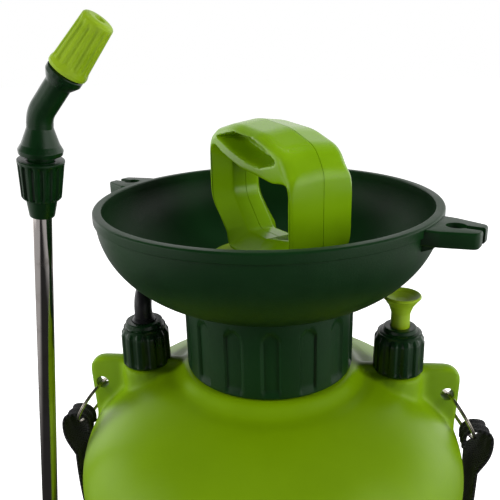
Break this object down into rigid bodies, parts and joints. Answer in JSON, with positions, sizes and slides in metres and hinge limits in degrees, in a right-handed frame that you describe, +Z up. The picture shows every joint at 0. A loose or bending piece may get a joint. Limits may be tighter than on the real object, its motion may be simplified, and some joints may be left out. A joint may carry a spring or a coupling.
{
  "type": "compression sprayer",
  "caption": "Hand-pumped compression sprayer: domed tank with a filling funnel, loop pump handle, relief valve, shoulder strap, hose and a trigger lance with an angled nozzle.",
  "frame": {"origin": "middle of the foot's underside, on the ground under the tank's axis", "axes": "+Z up the tank's axis, +X towards the relief valve port, -X towards the outlet port, -Y towards the front"},
  "size_m": [0.2806, 0.3268, 0.4289],
  "materials": {
    "tank_green": "satin blow-moulded",
    "handle_green": "glossy moulded",
    "cap_green": "semi-gloss moulded",
    "dark_plastic": "fine-grained moulded",
    "nut_plastic": "semi-gloss moulded",
    "black_plastic": "satin moulded",
    "pale_plastic": "natural translucent moulding",
    "seal_rubber": "moulded",
    "hose_rubber": "satin extruded",
    "webbing": "woven",
    "ring_steel": "plated",
    "screw_steel": "zinc",
    "tube_chrome": "bright plated"
  },
  "bodies": {
    "root": {"tank_shell": "tank_green", "base_foot": "dark_plastic", "funnel": "dark_plastic", "neck_gasket": "seal_rubber", "outlet_nut": "nut_plastic", "outlet_seal": "seal_rubber", "outlet_elbow": "black_plastic", "hose_clamp": "screw_steel", "dip_tube": "pale_plastic", "dip_strainer": "black_plastic", "relief_nut": "nut_plastic", "relief_port_seal": "seal_rubber", "relief_seat": "pale_plastic", "strap_ring_left": "ring_steel", "strap_ring_right": "ring_steel", "strap": "webbing", "strap_slider": "black_plastic", "lance_holder": "dark_plastic", "holder_screws": "screw_steel", "hose": "hose_rubber", "hose_coil": "hose_rubber"},
    "relief": {"relief_disc": "seal_rubber", "relief_button": "cap_green", "relief_spring": "screw_steel"},
    "pump": {"pump_cap": "cap_green", "cap_seal": "seal_rubber", "pump_cylinder": "pale_plastic", "check_valve": "seal_rubber", "cylinder_foot": "dark_plastic"},
    "guide": {"rod_guide": "dark_plastic"},
    "plunger": {"pump_rod": "pale_plastic", "piston_head": "dark_plastic", "piston_seal": "seal_rubber", "handle_front": "handle_green", "handle_back": "handle_green", "handle_screws": "screw_steel"},
    "lance": {"grip_front": "dark_plastic", "grip_back": "dark_plastic", "grip_screws": "screw_steel", "valve_body": "black_plastic", "trigger_pin": "screw_steel", "trigger_spring": "screw_steel", "inlet_barb": "black_plastic", "hose_nut": "nut_plastic", "wand_lower_nut": "nut_plastic", "wand_tube": "tube_chrome", "wand_upper_nut": "nut_plastic"},
    "trigger": {"trigger": "cap_green"},
    "valve": {"valve_stem": "pale_plastic"},
    "lock": {"lock_slide": "cap_green"},
    "elbow": {"nozzle_elbow": "nut_plastic", "elbow_seal": "seal_rubber", "spray_insert": "pale_plastic", "nozzle_ring": "seal_rubber"},
    "nozzle": {"nozzle_cap": "cap_green"}
  },
  "joints": [
    {"name": "pump_lift", "type": "slide", "parent": "root", "child": "pump", "axis": [0, 0, 1], "range_m": [0, 0.29]},
    {"name": "handle_turn", "type": "hinge", "parent": "pump", "child": "guide", "pos_m": [0, 0, 0.31], "axis": [0, 0, 1], "range_deg": [-90, 90]},
    {"name": "pump_stroke", "type": "slide", "parent": "guide", "child": "plunger", "axis": [0, 0, 1], "range_m": [0, 0.15]},
    {"name": "relief_pull", "type": "slide", "parent": "root", "child": "relief", "axis": [0, 0, 1], "range_m": [0, 0.004], "stiffness_N_per_m": 800, "springref_m": -0.002, "deforming": ["relief_spring"]},
    {"name": "lance_lift", "type": "slide", "parent": "root", "child": "lance", "axis": [0.1508, -0.0819, 0.9852], "range_m": [0, 0.08]},
    {"name": "trigger_squeeze", "type": "hinge", "parent": "lance", "child": "trigger", "pos_m": [-0.13937, -0.02569, 0.13248], "axis": [-0.0124, -0.9966, -0.081], "range_deg": [0, 11], "stiffness_Nm_per_rad": 0.4, "springref_deg": -2.86, "deforming": ["trigger_spring"]},
    {"name": "valve_push", "type": "slide", "parent": "lance", "child": "valve", "axis": [0.9885, 0, -0.1513], "range_m": [0, 0.006]},
    {"name": "lock_move", "type": "slide", "parent": "lance", "child": "lock", "axis": [0.1508, -0.0819, 0.9852], "range_m": [0, 0.004]},
    {"name": "elbow_swivel", "type": "hinge", "parent": "lance", "child": "elbow", "pos_m": [-0.08959, -0.04577, 0.37188], "axis": [0.1508, -0.0819, 0.9852], "range_deg": [-180, 180]},
    {"name": "nozzle_turn", "type": "hinge", "parent": "elbow", "child": "nozzle", "pos_m": [-0.08451, -0.04755, 0.39304], "axis": [0.6517, -0.0695, 0.7553], "range_deg": [0, 270]}
  ],
  "couplings": [
    {"joint": "valve_push", "follows": "trigger_squeeze", "m_per_rad": 0.03}
  ]
}
